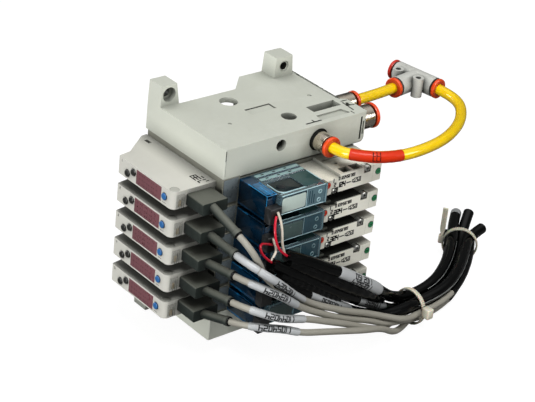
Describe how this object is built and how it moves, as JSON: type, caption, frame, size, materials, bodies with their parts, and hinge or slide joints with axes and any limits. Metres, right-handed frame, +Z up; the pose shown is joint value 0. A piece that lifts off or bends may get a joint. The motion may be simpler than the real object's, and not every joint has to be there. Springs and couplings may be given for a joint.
{
  "type": "vacuum ejector manifold",
  "caption": "Stacked vacuum ejector manifold with digital vacuum switches, clear suction filters, pilot valves, push-in fittings, a hose loop and a tied cable harness.",
  "frame": {"origin": "centre of the four-hole lug pattern, in the plane of the mounting panel", "axes": "+Y into the panel, +Z up along the stack towards the supply block, +X towards the supply fittings"},
  "size_m": [0.2484, 0.1172, 0.135],
  "materials": {
    "body_grey": "fine moulded texture",
    "switch_grey": "fine moulded texture",
    "window_maroon": "smooth",
    "dark_plastic": "moulded",
    "nickel": "satin nickel plate",
    "pilot_blue": "gloss",
    "clear_case": "clear smoky",
    "filter_white": "pleated",
    "valve_ivory": "moulded",
    "hose_yellow": "translucent",
    "wire_red": "smooth",
    "wire_white": "smooth",
    "tie_cream": "smooth",
    "cable_grey": "smooth",
    "cable_black": "smooth",
    "key_black": "smooth",
    "key_blue": "smooth",
    "override_orange": "smooth",
    "override_green": "smooth",
    "collet_orange": "smooth"
  },
  "bodies": {
    "manifold": {"supply_block": "body_grey", "end_block": "body_grey", "station_bodies": "body_grey", "ejector_cartridges": "nickel", "switch_housings": "switch_grey", "display_lenses": "window_maroon", "switch_plugs": "dark_plastic", "pilot_housings": "pilot_blue", "filter_cases": "clear_case", "filter_elements": "filter_white", "lead_plugs": "dark_plastic", "valve_bodies": "valve_ivory", "valve_end_caps": "valve_ivory", "tee_body": "valve_ivory", "screws_and_tie_rods": "nickel", "fitting_bodies": "nickel", "hose_short": "hose_yellow", "hose_loop": "hose_yellow", "lead_wire_red": "wire_red", "lead_wire_white": "wire_white", "cable_ties": "tie_cream", "signal_cable_1": "cable_grey", "signal_cable_2": "cable_grey", "signal_cable_3": "cable_grey", "signal_cable_4": "cable_grey", "signal_cable_5": "cable_grey", "solenoid_cable_1": "cable_black", "solenoid_cable_2": "cable_black", "solenoid_cable_3": "cable_black"},
    "up_key_1": {"up_key_1": "key_black"},
    "down_key_1": {"down_key_1": "key_black"},
    "set_key_1": {"set_key_1": "key_blue"},
    "supply_override_1": {"supply_override_1": "override_orange"},
    "release_override_1": {"release_override_1": "override_green"},
    "up_key_2": {"up_key_2": "key_black"},
    "down_key_2": {"down_key_2": "key_black"},
    "set_key_2": {"set_key_2": "key_blue"},
    "supply_override_2": {"supply_override_2": "override_orange"},
    "release_override_2": {"release_override_2": "override_green"},
    "up_key_3": {"up_key_3": "key_black"},
    "down_key_3": {"down_key_3": "key_black"},
    "set_key_3": {"set_key_3": "key_blue"},
    "supply_override_3": {"supply_override_3": "override_orange"},
    "release_override_3": {"release_override_3": "override_green"},
    "up_key_4": {"up_key_4": "key_black"},
    "down_key_4": {"down_key_4": "key_black"},
    "set_key_4": {"set_key_4": "key_blue"},
    "supply_override_4": {"supply_override_4": "override_orange"},
    "release_override_4": {"release_override_4": "override_green"},
    "up_key_5": {"up_key_5": "key_black"},
    "down_key_5": {"down_key_5": "key_black"},
    "set_key_5": {"set_key_5": "key_blue"},
    "supply_override_5": {"supply_override_5": "override_orange"},
    "release_override_5": {"release_override_5": "override_green"},
    "front_collet": {"front_collet": "collet_orange"},
    "small_collet": {"small_collet": "collet_orange"},
    "large_collet": {"large_collet": "collet_orange"},
    "tee_branch_collet": {"tee_branch_collet": "collet_orange"},
    "tee_front_collet": {"tee_front_collet": "collet_orange"},
    "tee_rear_collet": {"tee_rear_collet": "collet_orange"}
  },
  "joints": [
    {"name": "up_key_1_press", "type": "slide", "parent": "manifold", "child": "up_key_1", "axis": [1, 0, 0], "range_m": [0, 0.0006], "stiffness_N_per_m": 400, "springref_m": -0.0006},
    {"name": "down_key_1_press", "type": "slide", "parent": "manifold", "child": "down_key_1", "axis": [1, 0, 0], "range_m": [0, 0.0006], "stiffness_N_per_m": 400, "springref_m": -0.0006},
    {"name": "set_key_1_press", "type": "slide", "parent": "manifold", "child": "set_key_1", "axis": [1, 0, 0], "range_m": [0, 0.0006], "stiffness_N_per_m": 400, "springref_m": -0.0006},
    {"name": "supply_override_1_press", "type": "slide", "parent": "manifold", "child": "supply_override_1", "axis": [0, 1, 0], "range_m": [0, 0.0008], "stiffness_N_per_m": 500, "springref_m": -0.0006},
    {"name": "release_override_1_press", "type": "slide", "parent": "manifold", "child": "release_override_1", "axis": [0, 1, 0], "range_m": [0, 0.0008], "stiffness_N_per_m": 500, "springref_m": -0.0006},
    {"name": "up_key_2_press", "type": "slide", "parent": "manifold", "child": "up_key_2", "axis": [1, 0, 0], "range_m": [0, 0.0006], "stiffness_N_per_m": 400, "springref_m": -0.0006},
    {"name": "down_key_2_press", "type": "slide", "parent": "manifold", "child": "down_key_2", "axis": [1, 0, 0], "range_m": [0, 0.0006], "stiffness_N_per_m": 400, "springref_m": -0.0006},
    {"name": "set_key_2_press", "type": "slide", "parent": "manifold", "child": "set_key_2", "axis": [1, 0, 0], "range_m": [0, 0.0006], "stiffness_N_per_m": 400, "springref_m": -0.0006},
    {"name": "supply_override_2_press", "type": "slide", "parent": "manifold", "child": "supply_override_2", "axis": [0, 1, 0], "range_m": [0, 0.0008], "stiffness_N_per_m": 500, "springref_m": -0.0006},
    {"name": "release_override_2_press", "type": "slide", "parent": "manifold", "child": "release_override_2", "axis": [0, 1, 0], "range_m": [0, 0.0008], "stiffness_N_per_m": 500, "springref_m": -0.0006},
    {"name": "up_key_3_press", "type": "slide", "parent": "manifold", "child": "up_key_3", "axis": [1, 0, 0], "range_m": [0, 0.0006], "stiffness_N_per_m": 400, "springref_m": -0.0006},
    {"name": "down_key_3_press", "type": "slide", "parent": "manifold", "child": "down_key_3", "axis": [1, 0, 0], "range_m": [0, 0.0006], "stiffness_N_per_m": 400, "springref_m": -0.0006},
    {"name": "set_key_3_press", "type": "slide", "parent": "manifold", "child": "set_key_3", "axis": [1, 0, 0], "range_m": [0, 0.0006], "stiffness_N_per_m": 400, "springref_m": -0.0006},
    {"name": "supply_override_3_press", "type": "slide", "parent": "manifold", "child": "supply_override_3", "axis": [0, 1, 0], "range_m": [0, 0.0008], "stiffness_N_per_m": 500, "springref_m": -0.0006},
    {"name": "release_override_3_press", "type": "slide", "parent": "manifold", "child": "release_override_3", "axis": [0, 1, 0], "range_m": [0, 0.0008], "stiffness_N_per_m": 500, "springref_m": -0.0006},
    {"name": "up_key_4_press", "type": "slide", "parent": "manifold", "child": "up_key_4", "axis": [1, 0, 0], "range_m": [0, 0.0006], "stiffness_N_per_m": 400, "springref_m": -0.0006},
    {"name": "down_key_4_press", "type": "slide", "parent": "manifold", "child": "down_key_4", "axis": [1, 0, 0], "range_m": [0, 0.0006], "stiffness_N_per_m": 400, "springref_m": -0.0006},
    {"name": "set_key_4_press", "type": "slide", "parent": "manifold", "child": "set_key_4", "axis": [1, 0, 0], "range_m": [0, 0.0006], "stiffness_N_per_m": 400, "springref_m": -0.0006},
    {"name": "supply_override_4_press", "type": "slide", "parent": "manifold", "child": "supply_override_4", "axis": [0, 1, 0], "range_m": [0, 0.0008], "stiffness_N_per_m": 500, "springref_m": -0.0006},
    {"name": "release_override_4_press", "type": "slide", "parent": "manifold", "child": "release_override_4", "axis": [0, 1, 0], "range_m": [0, 0.0008], "stiffness_N_per_m": 500, "springref_m": -0.0006},
    {"name": "up_key_5_press", "type": "slide", "parent": "manifold", "child": "up_key_5", "axis": [1, 0, 0], "range_m": [0, 0.0006], "stiffness_N_per_m": 400, "springref_m": -0.0006},
    {"name": "down_key_5_press", "type": "slide", "parent": "manifold", "child": "down_key_5", "axis": [1, 0, 0], "range_m": [0, 0.0006], "stiffness_N_per_m": 400, "springref_m": -0.0006},
    {"name": "set_key_5_press", "type": "slide", "parent": "manifold", "child": "set_key_5", "axis": [1, 0, 0], "range_m": [0, 0.0006], "stiffness_N_per_m": 400, "springref_m": -0.0006},
    {"name": "supply_override_5_press", "type": "slide", "parent": "manifold", "child": "supply_override_5", "axis": [0, 1, 0], "range_m": [0, 0.0008], "stiffness_N_per_m": 500, "springref_m": -0.0006},
    {"name": "release_override_5_press", "type": "slide", "parent": "manifold", "child": "release_override_5", "axis": [0, 1, 0], "range_m": [0, 0.0008], "stiffness_N_per_m": 500, "springref_m": -0.0006},
    {"name": "front_collet_press", "type": "slide", "parent": "manifold", "child": "front_collet", "axis": [0, 1, 0], "range_m": [0, 0.0009], "stiffness_N_per_m": 800, "springref_m": -0.0004},
    {"name": "small_collet_press", "type": "slide", "parent": "manifold", "child": "small_collet", "axis": [-1, 0, 0], "range_m": [0, 0.0009], "stiffness_N_per_m": 800, "springref_m": -0.0004},
    {"name": "large_collet_press", "type": "slide", "parent": "manifold", "child": "large_collet", "axis": [-1, 0, 0], "range_m": [0, 0.0009], "stiffness_N_per_m": 800, "springref_m": -0.0004},
    {"name": "tee_branch_collet_press", "type": "slide", "parent": "manifold", "child": "tee_branch_collet", "axis": [0.9903, 0.1392, 0], "range_m": [0, 0.0009], "stiffness_N_per_m": 800, "springref_m": -0.0004},
    {"name": "tee_front_collet_press", "type": "slide", "parent": "manifold", "child": "tee_front_collet", "axis": [-0.1392, 0.9903, 0], "range_m": [0, 0.0009], "stiffness_N_per_m": 800, "springref_m": -0.0004},
    {"name": "tee_rear_collet_press", "type": "slide", "parent": "manifold", "child": "tee_rear_collet", "axis": [0.1392, -0.9903, 0], "range_m": [0, 0.0009], "stiffness_N_per_m": 800, "springref_m": -0.0004}
  ]
}
